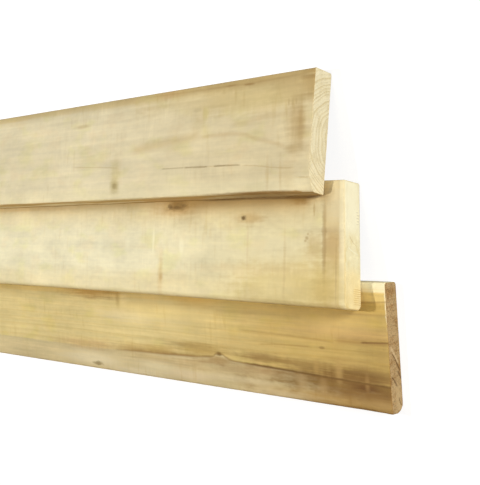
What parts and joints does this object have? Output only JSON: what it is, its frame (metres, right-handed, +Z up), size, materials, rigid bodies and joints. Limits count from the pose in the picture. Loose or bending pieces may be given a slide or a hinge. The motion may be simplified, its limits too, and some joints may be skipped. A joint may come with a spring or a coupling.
{
  "type": "stack of lumber",
  "caption": "Stack of long sawn softwood boards lying flat, lapped over each other like shingles with their near ends stepped back, as stock for fencing, cladding or decking.",
  "frame": {"origin": "centre of the stack's bounding box, on the floor that it lies on", "axes": "+X along the boards towards the stepped near ends, +Y across the boards towards the last one laid, +Z up"},
  "size_m": [1.8862, 0.3904, 0.0587],
  "materials": {
    "bottom_board_wood": "sawn, golden with a brown heart band",
    "middle_board_wood": "sawn, pale cream",
    "top_board_wood": "sawn, beige with faint saw marks"
  },
  "bodies": {
    "root": {"bottom_board": "bottom_board_wood", "middle_board": "middle_board_wood", "top_board": "top_board_wood"}
  },
  "joints": []
}
